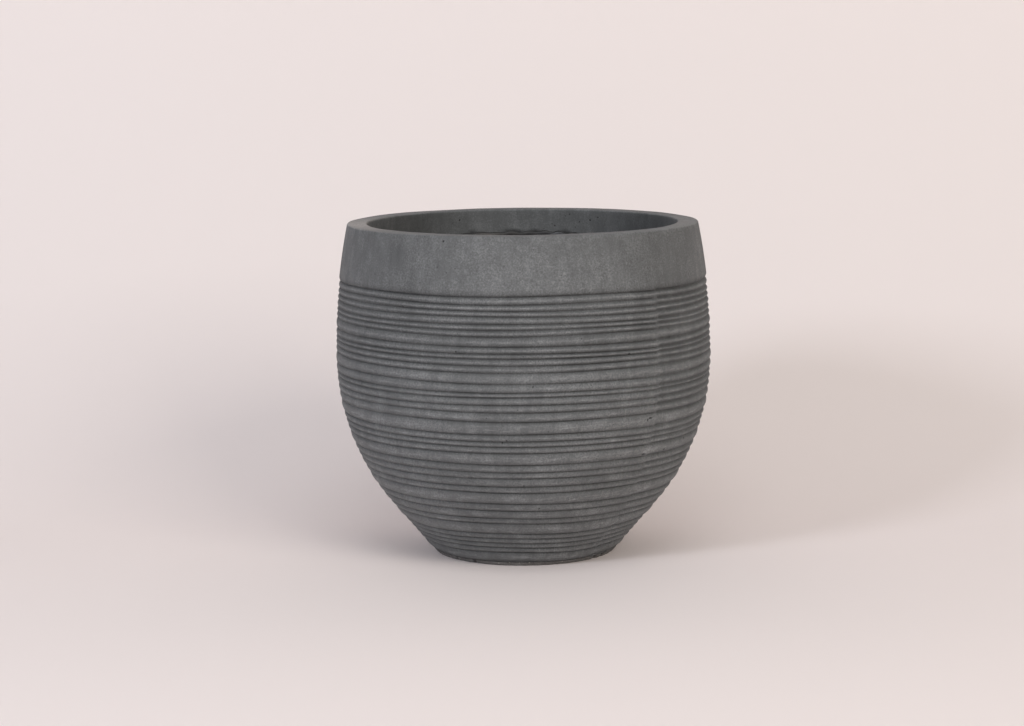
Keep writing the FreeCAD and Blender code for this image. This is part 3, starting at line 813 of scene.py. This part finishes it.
dulled = add(
    tree, "Mix", {0: dusted.outputs[0], 6: body.outputs[2], 7: linear("#4A4946")}, data_type="RGBA"
)
rough = add(tree, "MapRange", {
    "Value": pools.outputs[0], "From Min": 0.35, "From Max": 0.65, "To Min": 0.3, "To Max": 0.62,
})
bump = add(tree, "Bump", {"Height": brush.outputs[0], "Strength": 0.6, "Distance": 0.4 * MM})
shader.inputs["IOR"].default_value = 1.58
tree.links.new(dulled.outputs[2], shader.inputs["Base Color"])
tree.links.new(rough.outputs[0], shader.inputs["Roughness"])
tree.links.new(bump.outputs[0], shader.inputs["Normal"])
coat.data.materials.append(bitumen)
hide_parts("sealing_coat")
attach(coat, "pot")

# Drain sleeve
# A flanged sleeve of moulded PVC is set in the base before it is poured, so that the drain hole keeps a
# smooth bore. Its flange lies flush in the floor of the lining.
BORE_RADIUS = 12.5 * MM
SLEEVE_RADIUS = 15 * MM
FLANGE_RADIUS = 25 * MM
FLANGE_THICKNESS = 2 * MM
SLEEVE_EASE = 0.5 * MM
SLEEVE_COLUMNS = 96
SLEEVE_STEP = 4 * MM
sleeve_low, sleeve_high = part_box("drain_sleeve")
sleeve_section = eased([
    (BORE_RADIUS, sleeve_low.z, SLEEVE_EASE),
    (SLEEVE_RADIUS, sleeve_low.z, SLEEVE_EASE),
    (SLEEVE_RADIUS, sleeve_high.z - FLANGE_THICKNESS, SLEEVE_EASE),
    (FLANGE_RADIUS, sleeve_high.z - FLANGE_THICKNESS, SLEEVE_EASE),
    (FLANGE_RADIUS, sleeve_high.z, SLEEVE_EASE),
    (BORE_RADIUS, sleeve_high.z, SLEEVE_EASE),
], step=SLEEVE_STEP)
sleeve_angles = np.linspace(-math.pi, math.pi, SLEEVE_COLUMNS, endpoint=False)
sleeve_radius = sleeve_section[:, :1] + 0 * sleeve_angles
sleeve_height = sleeve_section[:, 1:] + 0 * sleeve_angles
sleeve = whole(lathe("drain_sleeve_moulded", sleeve_angles, sleeve_radius, sleeve_height))

# Moulded PVC is dark grey and satin, with a faint spark-eroded texture and cement dust on it
pvc, tree, shader = new_material("moulded_grey_pvc")
place = add(tree, "TexCoord").outputs["Object"]
texture = add(tree, "TexNoise", {"Vector": place, "Scale": 1 / (0.8 * MM), "Detail": 2})
dust = add(tree, "TexNoise", {"Vector": place, "Scale": 1 / (9 * MM), "Detail": 5, "Roughness": 0.7})
dusty = add(tree, "MapRange", {
    "Value": dust.outputs[0], "From Min": 0.45, "From Max": 0.75, "To Max": 0.45,
})
body = add(
    tree, "Mix", {0: dusty.outputs[0], 6: linear("#3A3B3D"), 7: linear("#7B7974")}, data_type="RGBA"
)
rough = add(tree, "MapRange", {
    "Value": dust.outputs[0], "From Min": 0.4, "From Max": 0.7, "To Min": 0.38, "To Max": 0.7,
})
bump = add(tree, "Bump", {"Height": texture.outputs[0], "Strength": 0.15, "Distance": 0.1 * MM})
shader.inputs["IOR"].default_value = 1.53
tree.links.new(body.outputs[2], shader.inputs["Base Color"])
tree.links.new(rough.outputs[0], shader.inputs["Roughness"])
tree.links.new(bump.outputs[0], shader.inputs["Normal"])
sleeve.data.materials.append(pvc)
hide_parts("drain_sleeve")
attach(sleeve, "pot")

# Drain plug
# The plug is moulded rubber: a stem with two sealing rings in the sleeve's bore, a cap that lies on the
# flange, and a knob on a neck to pull it out by. It is pushed in by hand.
STEM_RADIUS = 11.45 * MM
RING_RADIUS = 12.25 * MM
RING_HALF = 1.1 * MM
RING_COUNT = 2
CAP_RADIUS = 19 * MM
CAP_THICKNESS = 4 * MM
NECK_RADIUS = 6 * MM
NECK_HEIGHT = 6 * MM
KNOB_RADIUS = 10 * MM
PLUG_EASE = 0.9 * MM
KNOB_DIMPLE = 1.1 * MM
PLUG_COLUMNS = 96
PLUG_STEP = 3 * MM
plug_low, plug_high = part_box("drain_plug")
cap_bottom = sleeve_high.z
cap_top = cap_bottom + CAP_THICKNESS
knob_bottom = cap_top + NECK_HEIGHT
ring_pitch = (cap_bottom - plug_low.z) / (RING_COUNT + 1)
plug_corners = [(0, plug_low.z, 0), (STEM_RADIUS, plug_low.z, PLUG_EASE)]
for number in range(RING_COUNT):
    ring_level = plug_low.z + ring_pitch * (number + 1)
    plug_corners += [
        (STEM_RADIUS, ring_level - RING_HALF, 0),
        (RING_RADIUS, ring_level, RING_HALF / 2),
        (STEM_RADIUS, ring_level + RING_HALF, 0),
    ]
plug_corners += [
    (STEM_RADIUS, cap_bottom, 0),
    (CAP_RADIUS, cap_bottom, PLUG_EASE),
    (CAP_RADIUS, cap_top, PLUG_EASE),
    (NECK_RADIUS, cap_top, PLUG_EASE),
    (NECK_RADIUS, knob_bottom, PLUG_EASE),
    (KNOB_RADIUS, knob_bottom + PLUG_EASE, 2 * PLUG_EASE),
    (KNOB_RADIUS, plug_high.z, 2 * PLUG_EASE),
    (NECK_RADIUS, plug_high.z, PLUG_EASE),
    (NECK_RADIUS - KNOB_DIMPLE, plug_high.z - KNOB_DIMPLE, PLUG_EASE),
    (0, plug_high.z - KNOB_DIMPLE, 0),
]
plug_section = eased(plug_corners, step=PLUG_STEP)
plug_angles = np.linspace(-math.pi, math.pi, PLUG_COLUMNS, endpoint=False)
plug_radius = plug_section[:, :1] + 0 * plug_angles
plug_height = plug_section[:, 1:] + 0 * plug_angles
plug = whole(lathe("drain_plug_moulded", plug_angles, plug_radius, plug_height))

# Moulded rubber is black and dull, with a chalky bloom in patches and a fine moulded grain
rubber, tree, shader = new_material("moulded_black_rubber")
place = add(tree, "TexCoord").outputs["Object"]
skin = add(tree, "TexNoise", {"Vector": place, "Scale": 1 / (0.7 * MM), "Detail": 2})
chalk = add(tree, "TexNoise", {"Vector": place, "Scale": 1 / (8 * MM), "Detail": 5, "Roughness": 0.7})
chalky = add(tree, "MapRange", {
    "Value": chalk.outputs[0], "From Min": 0.42, "From Max": 0.75, "To Max": 0.5,
})
body = add(
    tree, "Mix", {0: chalky.outputs[0], 6: linear("#26262A"), 7: linear("#4E4D4B")}, data_type="RGBA"
)
rough = add(tree, "MapRange", {
    "Value": chalk.outputs[0], "From Min": 0.3, "From Max": 0.7, "To Min": 0.55, "To Max": 0.8,
})
bump = add(tree, "Bump", {"Height": skin.outputs[0], "Strength": 0.2, "Distance": 0.1 * MM})
shader.inputs["IOR"].default_value = 1.52
tree.links.new(body.outputs[2], shader.inputs["Base Color"])
tree.links.new(rough.outputs[0], shader.inputs["Roughness"])
tree.links.new(bump.outputs[0], shader.inputs["Normal"])
plug.data.materials.append(rubber)
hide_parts("drain_plug")
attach(plug, "plug")

# Studio
# A pale paper sweep lies under the pot and curves up behind it, lit by a cool lamp low on the left, a warm
# one on the right and a weak one high in front, with pale walls all round that send light back. From behind,
# the paper is left out and a plain floor shows.
SWEEP_FLAT = 0.1
SWEEP_RADIUS = 0.9
SWEEP_WIDTH = 12.0
SWEEP_TOP = 3.0
SWEEP_FRONT = -6.0
SWEEP_ARC_STEPS = 24
FLOOR_DROP = 1 * MM
line = [(SWEEP_FRONT, 0.0), (SWEEP_FLAT, 0.0)]
for step in np.linspace(0, math.pi / 2, SWEEP_ARC_STEPS + 1)[1:]:
    line.append((SWEEP_FLAT + SWEEP_RADIUS * math.sin(step), SWEEP_RADIUS * (1 - math.cos(step))))
line.append((SWEEP_FLAT + SWEEP_RADIUS, SWEEP_TOP))
sweep_mesh = bpy.data.meshes.new("paper_sweep")
sweep_sides = (-SWEEP_WIDTH / 2, SWEEP_WIDTH / 2)
sweep_points = [(x, y, z) for y, z in line for x in sweep_sides]
sweep_faces = [(2 * k, 2 * k + 1, 2 * k + 3, 2 * k + 2) for k in range(len(line) - 1)]
behind = len(sweep_points)
sweep_points += [(x, y, -FLOOR_DROP) for y in (SWEEP_FLAT, -SWEEP_FRONT) for x in sweep_sides]
sweep_faces.append((behind, behind + 1, behind + 3, behind + 2))
sweep_mesh.from_pydata(sweep_points, [], sweep_faces)
for face in sweep_mesh.polygons:
    face.use_smooth = True
sweep = bpy.data.objects.new("paper_sweep", sweep_mesh)
bpy.context.scene.collection.objects.link(sweep)

# Matt backdrop paper is pale and even, with no shine; only its face shows
paper, tree, shader = new_material("matt_backdrop_paper")
shader.inputs["Base Color"].default_value = linear("#ECE4E2")
shader.inputs["Roughness"].default_value = 0.9
reverse = add(tree, "NewGeometry").outputs["Backfacing"]
left_out = add(tree, "BsdfTransparent")
one_sided = add(tree, "MixShader", {0: reverse, 1: shader.outputs[0], 2: left_out.outputs[0]})
tree.links.new(one_sided.outputs[0], tree.nodes["Material Output"].inputs["Surface"])
sweep_mesh.materials.append(paper)


def softbox(name, azimuth, elevation, distance, size, power, colour):
    """A square lamp aimed at the belly, its azimuth counted to the right of the camera."""
    lamp = bpy.data.lights.new(name, "AREA")
    lamp.shape = "SQUARE"
    lamp.size = size
    lamp.energy = power
    lamp.color = linear(colour)[:3]
    holder = bpy.data.objects.new(name, lamp)
    bpy.context.scene.collection.objects.link(holder)
    turn, rise = math.radians(azimuth), math.radians(elevation)
    away = Vector((math.sin(turn) * math.cos(rise), -math.cos(turn) * math.cos(rise), math.sin(rise)))
    holder.location = Vector((0, 0, BELLY_HEIGHT)) + away * distance
    holder.rotation_euler = away.to_track_quat("Z", "Y").to_euler()


softbox("left_softbox", azimuth=-44, elevation=23, distance=4.0, size=0.8, power=59, colour="#F2F5FF")
softbox("right_softbox", azimuth=36, elevation=26, distance=4.0, size=2.0, power=68, colour="#FFF6EC")
softbox("top_softbox", azimuth=0, elevation=55, distance=4.0, size=2.0, power=29, colour="#FFFFFF")

# The light that the pale walls send back
world = bpy.data.worlds.new("studio_air")
world.use_nodes = True
world.node_tree.nodes["Background"].inputs["Color"].default_value = linear("#FFFFFF")
world.node_tree.nodes["Background"].inputs["Strength"].default_value = 0.27
bpy.context.scene.world = world

# The camera stands as far off and as high as the photograph was taken from
CAMERA_LENS = 87.92
CAMERA_SENSOR = 36
CAMERA_PLACE = Vector((-12.4, -2646.9, 570.7)) * MM
CAMERA_PITCH = math.radians(7.971)
CAMERA_ROLL = math.radians(-0.491)
camera_data = bpy.data.cameras.new("camera")
camera_data.sensor_width = CAMERA_SENSOR
camera_data.lens = CAMERA_LENS
camera = bpy.data.objects.new("camera", camera_data)
bpy.context.scene.collection.objects.link(camera)
aim = Matrix.Rotation(math.pi / 2 - CAMERA_PITCH, 4, "X") @ Matrix.Rotation(CAMERA_ROLL, 4, "Z")
camera.matrix_world = Matrix.Translation(CAMERA_PLACE) @ aim
bpy.context.scene.camera = camera
bpy.context.scene.view_settings.view_transform = "Standard"
